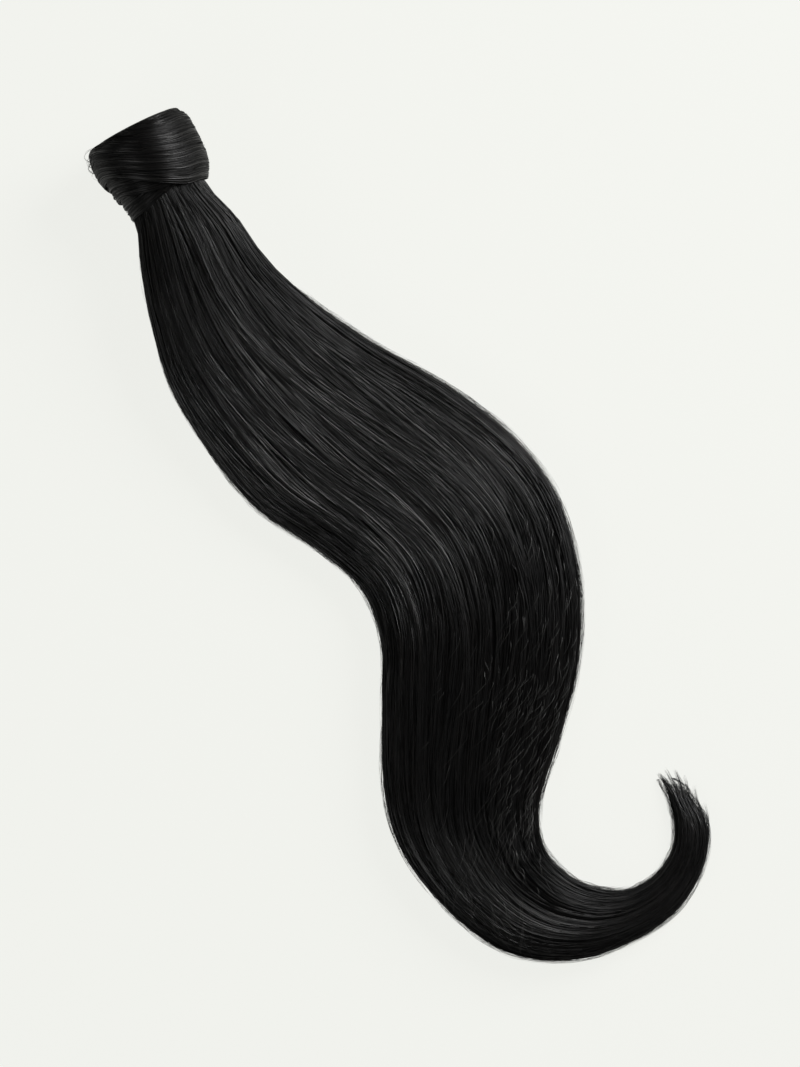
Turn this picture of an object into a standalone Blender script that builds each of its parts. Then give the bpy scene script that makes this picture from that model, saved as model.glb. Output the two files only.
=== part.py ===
"""Ponytail hairpiece of long black hair, lying on its side on a flat surface.

A short tube of sewn weft carries everything. Three turns of one strand are wound round it
and hide it, the gathered tail leaves its lower end, and a comb inside its open end grips
the wearer's own hair. Lengths are in metres, angles in degrees. +Z is up, the wrap's axis
lies along Y, and +Y points out of the open end, towards the wearer's head.
"""

import math
from collections import namedtuple

import bmesh
import bpy
from mathutils import Matrix, Vector

# Clearance that touching pieces keep
GAP = 0.0004

# Weft tube, from the rim (y = 0) towards -Y
TUBE_RADIUS = 0.0185
TUBE_WALL = 0.002
TUBE_LENGTH = 0.030
HOLLOW_DEPTH = 0.024
TUBE_SIDES = 40

# Strand wound round the tube in three turns
WRAP_LENGTH = 0.0385
WRAP_SETBACK = 0.0005
TURN_THICKNESS = 0.0020
TURN_EDGE_THICKNESS = 0.0008
TURN_RIB_HEIGHT = 0.00025
TURN_SIDES = 40
TURN_BLEND = 0.14
RIM_BLUNTNESS = 6
LOW_EDGE_BLUNTNESS = 3
OUTER_TURN_SAMPLES = 13
COVERED_TURN_SAMPLES = 9
INNER_FACE_SAMPLES = 5
RIB_SPACING_SAMPLES = 4

# Tail, from the mouth of the wrap down to the lowest bend and round to the tips
TAIL_DROP = 0.389
TAIL_SWAY = 0.085
TAIL_WIDTH = 0.107
TAIL_DEPTH = 0.027
TAIL_SETTLE = 0.004
SHOULDER_LENGTH = 0.0012
RINGS_PER_SECTION = 3

# Locks that show as ridges along the tail
LOCKS_ABOVE = 8
LOCKS_BELOW = 4
POINTS_PER_LOCK = 4
LOCK_RELIEF = 0.0014
LOCK_WANDER = 0.035
FULL_RELIEF_WIDTH = 0.045

# Pointed tufts at the end of the tail
TIP_LENGTH = 0.0085
TIP_RADIUS = 0.0021
TIP_POINT_RADIUS = 0.0003
TIP_SIDES = 8
TIP_ROOT_OVERLAP = 0.004

# Comb inside the open end, its teeth towards the rim
COMB_WIDTH = 0.024
COMB_BAR_HEIGHT = 0.003
COMB_THICKNESS = 0.0014
COMB_TEETH = 9
COMB_TOOTH_LENGTH = 0.016
COMB_TOOTH_TIP_SHARE = 0.35
COMB_TOOTH_SIDES = 6
COMB_BAR_STEPS = 12
COMB_FLOOR_CLEARANCE = 0.0015

BORE_RADIUS = TUBE_RADIUS - TUBE_WALL
MOUTH_RADIUS = TUBE_RADIUS

# Lower edge of each turn, as a share of the wrap's length from the rim. The angle goes round
# the wrap from its top, and is positive towards +X. The steps are even.
TurnEdges = namedtuple("TurnEdges", "angle outer middle inner")
TURN_EDGES = [
    TurnEdges(-180, 0.80, 0.84, 0.95),
    TurnEdges(-150, 0.72, 0.80, 0.98),
    TurnEdges(-120, 0.60, 0.75, 1.00),
    TurnEdges(-90, 0.49, 0.72, 1.00),
    TurnEdges(-60, 0.40, 0.68, 0.98),
    TurnEdges(-30, 0.46, 0.71, 0.94),
    TurnEdges(0, 0.72, 0.77, 0.84),
    TurnEdges(30, 0.87, 0.79, 0.80),
    TurnEdges(60, 0.92, 0.81, 0.82),
    TurnEdges(90, 0.93, 0.82, 0.84),
    TurnEdges(120, 0.91, 0.83, 0.88),
    TurnEdges(150, 0.86, 0.84, 0.92),
]

# Upper edge of each turn as a share of the wrap's length, from the tube outwards
Turn = namedtuple("Turn", "node edges_column upper_edge samples ribs")
TURNS = [
    Turn("wrap_inner_turn", "inner", 0.05, COVERED_TURN_SAMPLES, False),
    Turn("wrap_middle_turn", "middle", 0.025, COVERED_TURN_SAMPLES, False),
    Turn("wrap_outer_turn", "outer", 0.0, OUTER_TURN_SAMPLES, True),
]

# Cross-sections of the tail. side is a share of TAIL_SWAY, down of TAIL_DROP, width of
# TAIL_WIDTH and crown of TAIL_DEPTH. turn is the section's angle from +X. lift is 1 where the
# hair is as high and round as the mouth of the wrap, and 0 where it lies on the surface.
Station = namedtuple("Station", "side down width turn crown lift")
STATIONS = [
    Station(-0.010, 0.048, 0.462, 0, 1.00, 0.80),
    Station(-0.033, 0.113, 0.563, 1, 1.00, 0.50),
    Station(-0.009, 0.183, 0.712, 4, 1.00, 0.22),
    Station(0.095, 0.263, 0.850, 5, 1.00, 0.05),
    Station(0.267, 0.351, 0.991, 5, 0.98, 0.0),
    Station(0.460, 0.435, 1.000, 1, 0.96, 0.0),
    Station(0.554, 0.514, 0.943, -3, 0.97, 0.0),
    Station(0.489, 0.597, 0.897, -10, 1.00, 0.0),
    Station(0.301, 0.675, 0.861, -17, 1.00, 0.0),
    Station(0.053, 0.755, 0.774, -14, 0.97, 0.0),
    Station(-0.094, 0.818, 0.636, -9, 0.93, 0.0),
    Station(-0.101, 0.887, 0.503, 5, 0.86, 0.0),
    Station(0.015, 0.946, 0.433, 25, 0.78, 0.0),
    Station(0.215, 0.984, 0.336, 42, 0.68, 0.0),
    Station(0.454, 1.000, 0.226, 69, 0.57, 0.0),
    Station(0.693, 0.995, 0.178, 106, 0.48, 0.0),
    Station(0.887, 0.970, 0.156, 134, 0.41, 0.0),
    Station(0.984, 0.936, 0.143, 153, 0.34, 0.0),
    Station(0.996, 0.902, 0.100, 164, 0.25, 0.0),
    Station(0.992, 0.883, 0.068, 169, 0.16, 0.0),
]

# Tufts at the tip. across is a share of the last section's half width, reach of TIP_LENGTH,
# height of the last section's crown, and turn swings the tuft from the tail's own heading.
Tuft = namedtuple("Tuft", "across reach height turn")
TUFTS = [
    Tuft(-0.75, 0.58, 0.45, 30),
    Tuft(-0.45, 0.76, 0.65, 24),
    Tuft(-0.15, 0.90, 0.50, 28),
    Tuft(0.15, 0.84, 0.70, 22),
    Tuft(0.45, 1.00, 0.55, 25),
    Tuft(0.75, 0.74, 0.45, 34),
]

# One cross-section of the tail, in metres
Section = namedtuple("Section", "x y turn half_width top under waist roundness")


def mix(a, b, share):
    return a + (b - a) * share


def smooth_value(before, start, end, after, share):
    """Value on a smooth curve from start to end, given its neighbours on both sides."""
    return 0.5 * (
        2 * start
        + (end - before) * share
        + (2 * before - 5 * start + 4 * end - after) * share**2
        + (3 * start - before - 3 * end + after) * share**3
    )


def clear_scene():
    for obj in list(bpy.data.objects):
        bpy.data.objects.remove(obj, do_unlink=True)


def new_collection(name, hidden=False):
    collection = bpy.data.collections.new(name)
    collection.hide_render = hidden
    bpy.context.scene.collection.children.link(collection)
    return collection


def new_material(name, colour, roughness, metallic=0.0):
    material = bpy.data.materials.new(name)
    material.use_nodes = True
    shader = material.node_tree.nodes["Principled BSDF"]
    shader.inputs["Base Color"].default_value = (*colour, 1.0)
    shader.inputs["Roughness"].default_value = roughness
    shader.inputs["Metallic"].default_value = metallic
    material.diffuse_color = (*colour, 1.0)
    return material


def object_from_bmesh(name, bm, collection, material=None, parent=None):
    mesh = bpy.data.meshes.new(name)
    bmesh.ops.recalc_face_normals(bm, faces=bm.faces)
    bm.to_mesh(mesh)
    bm.free()
    mesh.shade_smooth()
    mesh.set_sharp_from_angle(angle=math.radians(50))
    obj = bpy.data.objects.new(name, mesh)
    collection.objects.link(obj)
    if material:
        mesh.materials.append(material)
    obj.parent = parent
    return obj


def skin_rings(rings, closed_round=False):
    """Mesh through rings of equal count. Ends are capped unless the rings close on themselves."""
    bm = bmesh.new()
    rows = [[bm.verts.new(point) for point in ring] for ring in rings]
    pairs = list(zip(rows, rows[1:]))
    if closed_round:
        pairs.append((rows[-1], rows[0]))
    for first, second in pairs:
        for i in range(len(first)):
            j = (i + 1) % len(first)
            bm.faces.new((first[i], first[j], second[j], second[i]))
    if not closed_round:
        bm.faces.new(rows[0])
        bm.faces.new(rows[-1])
    return bm


# Wound strand


def lower_edge(column, angle):
    """Share of the wrap's length at which a turn ends, at an angle round the wrap."""
    step = TURN_EDGES[1].angle - TURN_EDGES[0].angle
    place = (angle - TURN_EDGES[0].angle) / step
    index = math.floor(place)
    edges = [
        getattr(TURN_EDGES[(index + offset) % len(TURN_EDGES)], column)
        for offset in (-1, 0, 1, 2)
    ]
    return smooth_value(*edges, place - index)


def turn_thickness(share):
    """Thickness of a turn from its upper edge (0) to its lower edge (1)."""
    bluntness = RIM_BLUNTNESS if share < 0.5 else LOW_EDGE_BLUNTNESS
    fullness = 1 - abs(2 * share - 1) ** bluntness
    return mix(TURN_EDGE_THICKNESS, TURN_THICKNESS, fullness)


def height_over(turn, angle, along):
    """Height that a turn adds under what is wound over it, easing off beyond its edges."""
    lower = lower_edge(turn.edges_column, angle)
    share = (along - turn.upper_edge) / (lower - turn.upper_edge)
    beyond = max(-share, share - 1, 0)
    held = turn_thickness(min(max(share, 0), 1))
    return held * max(0, 1 - beyond / TURN_BLEND)


def turn_section(index, angle):
    """(along, radius) points round one turn's cross-section: outer face, then inner face back."""
    turn = TURNS[index]
    lower = lower_edge(turn.edges_column, angle)

    def seat(share):
        along = mix(turn.upper_edge, lower, share)
        under = sum(height_over(inner, angle, along) + GAP for inner in TURNS[:index])
        return along, TUBE_RADIUS + GAP + under

    points = []
    for i in range(turn.samples):
        share = i / (turn.samples - 1)
        along, radius = seat(share)
        crest = turn.ribs and i % RIB_SPACING_SAMPLES == RIB_SPACING_SAMPLES // 2
        rib = TURN_RIB_HEIGHT if crest else 0
        points.append((along, radius + turn_thickness(share) + rib))
    for i in reversed(range(turn.samples // 2 + 1)):
        points.append(seat(i / (turn.samples // 2)))
    return points


def wrap_radius():
    """Radius from the wrap's axis down to its lowest point, which stands on the surface."""
    return max(radius for _, radius in turn_section(len(TURNS) - 1, 180))


def round_the_axis(angle, radius, y, axis_height):
    side = math.radians(angle)
    return Vector(
        (radius * math.sin(side), y, axis_height + radius * math.cos(side))
    )


def make_turn(index, axis_height, collection, material, parent):
    rings = []
    for i in range(TURN_SIDES):
        angle = -180 + 360 * i / TURN_SIDES
        rings.append(
            [
                round_the_axis(
                    angle, radius, -WRAP_SETBACK - along * WRAP_LENGTH, axis_height
                )
                for along, radius in turn_section(index, angle)
            ]
        )
    bm = skin_rings(rings, closed_round=True)
    return object_from_bmesh(TURNS[index].node, bm, collection, material, parent)


# Weft tube


def make_tube(axis_height, collection, material, parent):
    """Plain tube: a turned rectangle."""
    profile = [
        (0, TUBE_RADIUS),
        (TUBE_LENGTH, TUBE_RADIUS),
        (TUBE_LENGTH, BORE_RADIUS),
        (0, BORE_RADIUS),
    ]
    rings = []
    for i in range(TUBE_SIDES):
        angle = 360 * i / TUBE_SIDES
        rings.append(
            [
                round_the_axis(angle, radius, -depth, axis_height)
                for depth, radius in profile
            ]
        )
    bm = skin_rings(rings, closed_round=True)
    return object_from_bmesh("weft_tube", bm, collection, material, parent)


# Tail


def tail_sections(axis_height):
    """Sections from just below the tube, through the mouth of the wrap, to the tip."""
    sections = []
    root = TUBE_LENGTH + GAP + SHOULDER_LENGTH
    mouth = max(WRAP_LENGTH, root + SHOULDER_LENGTH)
    for depth in (root, mouth):
        sections.append(
            Section(
                0.0,
                -depth,
                0.0,
                MOUTH_RADIUS,
                axis_height + MOUTH_RADIUS,
                axis_height - MOUTH_RADIUS,
                axis_height,
                2.0,
            )
        )
    for station in STATIONS:
        top = mix(
            station.crown * TAIL_DEPTH, axis_height + MOUTH_RADIUS, station.lift
        )
        under = mix(-TAIL_SETTLE, axis_height - MOUTH_RADIUS, station.lift)
        sections.append(
            Section(
                station.side * TAIL_SWAY,
                -mouth - station.down * TAIL_DROP,
                station.turn,
                0.5 * station.width * TAIL_WIDTH,
                top,
                under,
                mix(under, top, mix(0.4, 0.5, station.lift)),
                mix(2.4, 2.0, station.lift),
            )
        )
    return sections


def section_between(sections, place):
    """Section at a place that counts sections from the first, smoothly interpolated."""
    last = len(sections) - 1
    index = min(int(place), last - 1)
    near = [sections[min(max(index + offset, 0), last)] for offset in (-1, 0, 1, 2)]
    return Section(*(smooth_value(*column, place - index) for column in zip(*near)))


def lock_points(count, from_side):
    """(across, lock, phase) of each ridge and valley point from one side of the tail to the other."""
    total = count * POINTS_PER_LOCK
    points = []
    for i in range(total):
        even = 1 - 2 * i / total
        rounded = math.cos(math.pi * i / total)
        across = from_side * mix(even, rounded, 0.55)
        points.append((across, i // POINTS_PER_LOCK, i % POINTS_PER_LOCK))
    return points


def lock_relief(lock, phase, place, half_width):
    """Height of a lock's rounded back over the valley beside it."""
    back = math.sin(math.pi * phase / POINTS_PER_LOCK)
    fullness = 0.75 + 0.25 * math.sin(2.4 * lock + 0.5 * place)
    narrowing = min(1.0, 2 * half_width / FULL_RELIEF_WIDTH)
    return LOCK_RELIEF * fullness * narrowing * (back - 0.5)


def tail_ring(section, place, relief_share):
    """Points round one section: over the top, then back underneath, flat where it lies."""
    heading = math.radians(section.turn)
    sideways = Vector((math.cos(heading), math.sin(heading), 0))
    centre = Vector((section.x, section.y, 0))
    ring = []
    for points, reach in (
        (lock_points(LOCKS_ABOVE, 1), section.top - section.waist),
        (lock_points(LOCKS_BELOW, -1), section.under - section.waist),
    ):
        for across, lock, phase in points:
            wander = LOCK_WANDER * math.sin(0.8 * place + lock) * (1 - across**2)
            across += wander * relief_share
            rise = max(0.0, 1 - abs(across) ** section.roundness)
            rise **= 1 / section.roundness
            outward = Vector((across / section.half_width, rise / reach)).normalized()
            relief = relief_share * lock_relief(lock, phase, place, section.half_width)
            side = across * section.half_width + relief * outward.x
            height = section.waist + rise * reach + relief * outward.y
            ring.append(centre + sideways * side + Vector((0, 0, max(height, 0.0))))
    return ring


def head_ring(depth, radius, axis_height):
    """Round section of the gathered hair inside the tube, with the points of a tail ring."""
    round_section = Section(
        0.0, -depth, 0.0, radius, axis_height + radius, axis_height - radius,
        axis_height, 2.0,
    )
    return tail_ring(round_section, 0.0, 0.0)


def make_tufts(section, collection, parent):
    """Pointed tufts at the end of the tail, each a tapered cone rooted inside it."""
    heading = math.radians(section.turn)
    sideways = Vector((math.cos(heading), math.sin(heading), 0))
    forward = Vector((sideways.y, -sideways.x, 0))
    for number, tuft in enumerate(TUFTS, start=1):
        length = TIP_ROOT_OVERLAP + tuft.reach * TIP_LENGTH
        way = Matrix.Rotation(math.radians(tuft.turn), 3, "Z") @ forward
        root = Vector((section.x, section.y, 0)) - way * TIP_ROOT_OVERLAP
        root += sideways * tuft.across * section.half_width
        root.z = max(tuft.height * section.top, TIP_RADIUS)
        bm = bmesh.new()
        bmesh.ops.create_cone(
            bm,
            cap_ends=True,
            segments=TIP_SIDES,
            radius1=TIP_RADIUS,
            radius2=TIP_POINT_RADIUS,
            depth=length,
            matrix=Matrix.Translation((0, 0, length / 2)),
        )
        cone = object_from_bmesh(f"tuft_{number}", bm, collection, parent=parent)
        cone.rotation_mode = "QUATERNION"
        cone.rotation_quaternion = way.to_track_quat("Z", "Y")
        cone.location = root
        cone.hide_render = True
        cone.display_type = "WIRE"


def make_tail(axis_height, collection, helpers, material, parent):
    sections = tail_sections(axis_height)
    head_radius = BORE_RADIUS - GAP
    rings = [
        head_ring(HOLLOW_DEPTH, head_radius, axis_height),
        head_ring(TUBE_LENGTH + GAP, head_radius, axis_height),
    ]
    intervals = (len(sections) - 1) * RINGS_PER_SECTION
    for i in range(intervals + 1):
        place = i / RINGS_PER_SECTION
        relief_share = min(max(place - 1, 0.0), 1.0)
        section = section_between(sections, place)
        rings.append(tail_ring(section, place, relief_share))
    tail = object_from_bmesh("tail", skin_rings(rings), collection, material, parent)
    make_tufts(sections[-1], helpers, parent)
    joined = tail.modifiers.new("tufts", "BOOLEAN")
    joined.operation = "UNION"
    joined.solver = "EXACT"
    joined.operand_type = "COLLECTION"
    joined.collection = helpers
    return tail


# Comb


def comb_bar_rings(radius, depth, axis_height):
    """Rectangles along an arc inside the bore, at the top of the hollow."""
    half_angle = math.degrees(COMB_WIDTH / 2 / radius)
    half_thickness = COMB_THICKNESS / 2
    rings = []
    for i in range(COMB_BAR_STEPS + 1):
        angle = mix(-half_angle, half_angle, i / COMB_BAR_STEPS)
        rings.append(
            [
                round_the_axis(angle, radius + outward, -depth + deeper, axis_height)
                for outward, deeper in (
                    (half_thickness, 0),
                    (half_thickness, -COMB_BAR_HEIGHT),
                    (-half_thickness, -COMB_BAR_HEIGHT),
                    (-half_thickness, 0),
                )
            ]
        )
    return rings


def make_comb(axis_height, collection, helpers, material, parent):
    radius = BORE_RADIUS - GAP - COMB_THICKNESS / 2
    bar_foot = HOLLOW_DEPTH - COMB_FLOOR_CLEARANCE
    bar_top = bar_foot - COMB_BAR_HEIGHT
    bm = skin_rings(comb_bar_rings(radius, bar_top, axis_height))
    comb = object_from_bmesh("comb", bm, collection, material, parent)
    tooth_radius = COMB_THICKNESS / 2
    half_angle = math.degrees((COMB_WIDTH / 2 - tooth_radius) / radius)
    length = COMB_TOOTH_LENGTH + COMB_BAR_HEIGHT / 2
    for number in range(COMB_TEETH):
        angle = mix(-half_angle, half_angle, number / (COMB_TEETH - 1))
        tooth_bm = bmesh.new()
        bmesh.ops.create_cone(
            tooth_bm,
            cap_ends=True,
            segments=COMB_TOOTH_SIDES,
            radius1=tooth_radius,
            radius2=tooth_radius * COMB_TOOTH_TIP_SHARE,
            depth=length,
            matrix=Matrix.Translation((0, 0, length / 2)),
        )
        tooth = object_from_bmesh(
            f"comb_tooth_{number + 1}", tooth_bm, helpers, parent=parent
        )
        tooth.rotation_euler = (-math.radians(90), 0, 0)
        foot = bar_top + COMB_BAR_HEIGHT / 2
        tooth.location = round_the_axis(angle, radius, -foot, axis_height)
        tooth.hide_render = True
        tooth.display_type = "WIRE"
    joined = comb.modifiers.new("teeth", "BOOLEAN")
    joined.operation = "UNION"
    joined.solver = "EXACT"
    joined.operand_type = "COLLECTION"
    joined.collection = helpers
    return comb


# Whole hairpiece


def centre_over_origin(root, parts):
    """Moves the hairpiece so that the middle of its box stands over the origin."""
    bpy.context.view_layer.update()
    graph = bpy.context.evaluated_depsgraph_get()
    corners = []
    for part in parts:
        evaluated = part.evaluated_get(graph)
        corners += [
            evaluated.matrix_world @ vertex.co for vertex in evaluated.data.vertices
        ]
    for axis in (0, 1):
        values = [corner[axis] for corner in corners]
        root.location[axis] = -(min(values) + max(values)) / 2


def main():
    clear_scene()
    parts_collection = new_collection("ponytail_hairpiece")
    tuft_collection = new_collection("tufts", hidden=True)
    teeth_collection = new_collection("comb_teeth", hidden=True)
    hair = new_material("black_hair", (0.012, 0.012, 0.013), 0.42)
    weft = new_material("sewn_weft", (0.02, 0.02, 0.02), 0.9)
    plastic = new_material("comb_plastic", (0.03, 0.025, 0.022), 0.35)

    root = bpy.data.objects.new("hairpiece", None)
    parts_collection.objects.link(root)
    axis_height = wrap_radius()
    parts = [
        make_turn(index, axis_height, parts_collection, hair, root)
        for index in range(len(TURNS))
    ]
    parts.append(make_tube(axis_height, parts_collection, weft, root))
    parts.append(
        make_tail(axis_height, parts_collection, tuft_collection, hair, root)
    )
    parts.append(
        make_comb(axis_height, parts_collection, teeth_collection, plastic, root)
    )
    centre_over_origin(root, parts)


main()
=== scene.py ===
import math

import bmesh
import bpy
import numpy as np
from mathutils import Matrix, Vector


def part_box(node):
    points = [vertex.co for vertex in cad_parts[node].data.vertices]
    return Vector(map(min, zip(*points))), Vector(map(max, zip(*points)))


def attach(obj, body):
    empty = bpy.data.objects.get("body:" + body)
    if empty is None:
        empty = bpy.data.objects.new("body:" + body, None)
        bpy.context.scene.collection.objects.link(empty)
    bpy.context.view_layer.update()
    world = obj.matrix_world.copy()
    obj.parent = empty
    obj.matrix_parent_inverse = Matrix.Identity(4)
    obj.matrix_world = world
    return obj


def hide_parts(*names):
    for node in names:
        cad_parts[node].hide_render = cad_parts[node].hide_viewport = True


# Ponytail hairpiece lying on a pale table, seen from straight above.
# Metres, +Z up, +Y out of the wrap's open end. Strands are thin tapered ribbons built in numpy.

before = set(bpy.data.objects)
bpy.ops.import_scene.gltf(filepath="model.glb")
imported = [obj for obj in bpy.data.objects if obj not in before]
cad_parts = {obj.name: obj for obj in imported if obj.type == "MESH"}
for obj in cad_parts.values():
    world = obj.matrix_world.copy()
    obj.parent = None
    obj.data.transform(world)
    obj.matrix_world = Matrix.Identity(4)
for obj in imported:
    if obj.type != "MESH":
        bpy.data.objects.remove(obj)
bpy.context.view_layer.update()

mm = 0.001
scene = bpy.context.scene

# sizes that come from the frame
tailLow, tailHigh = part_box("tail")
tubeLow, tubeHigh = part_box("weft_tube")
innerLow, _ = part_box("wrap_inner_turn")
axisX = (tubeLow.x + tubeHigh.x) / 2
axisZ = (tubeLow.z + tubeHigh.z) / 2
rimY = tubeHigh.y
mouthY = innerLow.y + 0.5 * mm
tubeRadius = (tubeHigh.x - tubeLow.x) / 2


def mix(a, b, share):
    return a + (b - a) * share


def smoothStep(low, high, value):
    t = np.clip((value - low) / (high - low), 0, 1)
    return t * t * (3 - 2 * t)


def smoothRows(rows, perGap):
    # smooth curve through the rows of a table
    rows = np.array(rows, float)
    padded = np.vstack([rows[:1], rows, rows[-1:]])
    t = np.linspace(0, 1, perGap, endpoint=False)[:, None]
    parts = []
    for i in range(len(rows) - 1):
        a, b, c, d = padded[i : i + 4]
        bow = 2 * b + (c - a) * t + (2 * a - 5 * b + 4 * c - d) * t**2
        parts.append(0.5 * (bow + (3 * b - a - 3 * c + d) * t**3))
    return np.vstack(parts + [rows[-1:]])


# materials


def newGroup(name, inputs, outputs):
    group = bpy.data.node_groups.new(name, "ShaderNodeTree")
    for label, kind, value in inputs:
        socket = group.interface.new_socket(label, in_out="INPUT", socket_type=kind)
        if value is not None:
            socket.default_value = value
    for label, kind in outputs:
        group.interface.new_socket(label, in_out="OUTPUT", socket_type=kind)
    return group, group.nodes.new("NodeGroupInput"), group.nodes.new("NodeGroupOutput")


def addNode(tree, kind, **settings):
    node = tree.nodes.new(kind)
    for key, value in settings.items():
        if key in node.inputs:
            node.inputs[key].default_value = value
        else:
            setattr(node, key, value)
    return node


def makeStrandGroup():
    # shade of one strand: its tone (on the tail partly painted shade and painted sheen), and slow changes
    # along it
    group, given, out = newGroup(
        "strandShade",
        [
            ("Tone", "NodeSocketFloat", 0.5),
            ("Patch Scale", "NodeSocketFloat", 60.0),
            ("Dark", "NodeSocketColor", (0.003, 0.003, 0.003, 1)),
            ("Light", "NodeSocketColor", (0.02, 0.018, 0.016, 1)),
            ("Low Roughness", "NodeSocketFloat", 0.3),
            ("High Roughness", "NodeSocketFloat", 0.5),
        ],
        [
            ("Color", "NodeSocketColor"),
            ("Roughness", "NodeSocketFloat"),
            ("Gloss", "NodeSocketFloat"),
        ],
    )
    link = group.links.new
    place = addNode(group, "ShaderNodeTexCoord")
    patches = addNode(group, "ShaderNodeTexNoise", Detail=2.0)
    link(place.outputs["Object"], patches.inputs["Vector"])
    link(given.outputs["Patch Scale"], patches.inputs["Scale"])
    both = addNode(group, "ShaderNodeMath", operation="MULTIPLY")
    link(given.outputs["Tone"], both.inputs[0])
    link(patches.outputs["Fac"], both.inputs[1])
    double = addNode(group, "ShaderNodeMath", operation="MULTIPLY")
    double.inputs[1].default_value = 2.0
    link(both.outputs[0], double.inputs[0])
    colour = addNode(group, "ShaderNodeMix", data_type="RGBA")
    link(double.outputs[0], colour.inputs["Factor"])
    link(given.outputs["Dark"], colour.inputs["A"])
    link(given.outputs["Light"], colour.inputs["B"])
    rough = addNode(group, "ShaderNodeMapRange")
    link(given.outputs["Tone"], rough.inputs["Value"])
    link(given.outputs["High Roughness"], rough.inputs["To Min"])
    link(given.outputs["Low Roughness"], rough.inputs["To Max"])
    link(colour.outputs["Result"], out.inputs["Color"])
    link(rough.outputs["Result"], out.inputs["Roughness"])
    gloss = addNode(group, "ShaderNodeMapRange", interpolation_type="SMOOTHSTEP")
    gloss.inputs["From Min"].default_value = 0.3
    gloss.inputs["From Max"].default_value = 0.9
    link(given.outputs["Tone"], gloss.inputs["Value"])
    link(gloss.outputs["Result"], out.inputs["Gloss"])
    return group


def makeFibreGroup():
    # fine parallel fibres on a solid surface: u runs across them, v along them
    group, given, out = newGroup(
        "fibreLines",
        [
            ("Vector", "NodeSocketVector", None),
            ("Across", "NodeSocketFloat", 300.0),
            ("Along", "NodeSocketFloat", 6.0),
        ],
        [("Height", "NodeSocketFloat"), ("Mask", "NodeSocketFloat")],
    )
    link = group.links.new
    scale = addNode(group, "ShaderNodeCombineXYZ", Z=1.0)
    link(given.outputs["Across"], scale.inputs["X"])
    link(given.outputs["Along"], scale.inputs["Y"])
    stretched = addNode(group, "ShaderNodeVectorMath", operation="MULTIPLY")
    link(given.outputs["Vector"], stretched.inputs[0])
    link(scale.outputs[0], stretched.inputs[1])
    fine = addNode(group, "ShaderNodeTexNoise", Scale=1.0, Detail=3.0, Roughness=0.6)
    link(stretched.outputs[0], fine.inputs["Vector"])
    coarse = addNode(group, "ShaderNodeTexNoise", Scale=0.16, Detail=1.0)
    link(stretched.outputs[0], coarse.inputs["Vector"])
    total = addNode(group, "ShaderNodeMath", operation="ADD")
    link(fine.outputs["Fac"], total.inputs[0])
    link(coarse.outputs["Fac"], total.inputs[1])
    mask = addNode(group, "ShaderNodeMapRange")
    mask.inputs["From Min"].default_value = 0.75
    mask.inputs["From Max"].default_value = 1.3
    link(total.outputs[0], mask.inputs["Value"])
    link(total.outputs[0], out.inputs["Height"])
    link(mask.outputs["Result"], out.inputs["Mask"])
    return group


strandShade = makeStrandGroup()
fibreLines = makeFibreGroup()


def varyColour(tree, shader, factor, look):
    # base colour between the look's dark and light
    colour = addNode(tree, "ShaderNodeMix", data_type="RGBA")
    colour.inputs["A"].default_value = (*look["dark"], 1)
    colour.inputs["B"].default_value = (*look["light"], 1)
    tree.links.new(factor, colour.inputs["Factor"])
    tree.links.new(colour.outputs["Result"], shader.inputs["Base Color"])


def varyRoughness(tree, shader, factor, atLow, atHigh):
    rough = addNode(tree, "ShaderNodeMapRange")
    rough.inputs["To Min"].default_value = atLow
    rough.inputs["To Max"].default_value = atHigh
    tree.links.new(factor, rough.inputs["Value"])
    tree.links.new(rough.outputs["Result"], shader.inputs["Roughness"])


def bumpFrom(tree, shader, height, strength, distance):
    bump = addNode(tree, "ShaderNodeBump", Strength=strength, Distance=distance)
    tree.links.new(height, bump.inputs["Height"])
    tree.links.new(bump.outputs["Normal"], shader.inputs["Normal"])


def newMaterial(name, slotColour):
    material = bpy.data.materials.new(name)
    material.use_nodes = True
    material.diffuse_color = (*slotColour, 1)
    return material, material.node_tree, material.node_tree.nodes["Principled BSDF"]


def strandMaterial(name, look):
    material, tree, shader = newMaterial(name, look["light"])
    tone = addNode(tree, "ShaderNodeAttribute", attribute_name="tone")
    shade = addNode(tree, "ShaderNodeGroup", node_tree=strandShade)
    shade.inputs["Patch Scale"].default_value = look["patchScale"]
    shade.inputs["Dark"].default_value = (*look["dark"], 1)
    shade.inputs["Light"].default_value = (*look["light"], 1)
    shade.inputs["Low Roughness"].default_value = look["roughness"][0]
    shade.inputs["High Roughness"].default_value = look["roughness"][1]
    tree.links.new(tone.outputs["Fac"], shade.inputs["Tone"])
    tree.links.new(shade.outputs["Color"], shader.inputs["Base Color"])
    tree.links.new(shade.outputs["Roughness"], shader.inputs["Roughness"])
    tree.links.new(shade.outputs["Gloss"], shader.inputs["Coat Weight"])
    shader.inputs["Coat Roughness"].default_value = look["roughness"][0]
    shader.inputs["Specular IOR Level"].default_value = look["specular"]
    return material


def fibreMaterial(name, look):
    material, tree, shader = newMaterial(name, look["light"])
    uv = addNode(tree, "ShaderNodeUVMap", uv_map="fibreMap")
    lines = addNode(tree, "ShaderNodeGroup", node_tree=fibreLines)
    lines.inputs["Across"].default_value = look["across"]
    lines.inputs["Along"].default_value = look["along"]
    tree.links.new(uv.outputs["UV"], lines.inputs["Vector"])
    varyColour(tree, shader, lines.outputs["Mask"], look)
    varyRoughness(tree, shader, lines.outputs["Mask"], look["roughness"][1], look["roughness"][0])
    bumpFrom(tree, shader, lines.outputs["Height"], look["bump"], 0.3 * mm)
    shader.inputs["Specular IOR Level"].default_value = look["specular"]
    return material


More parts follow.
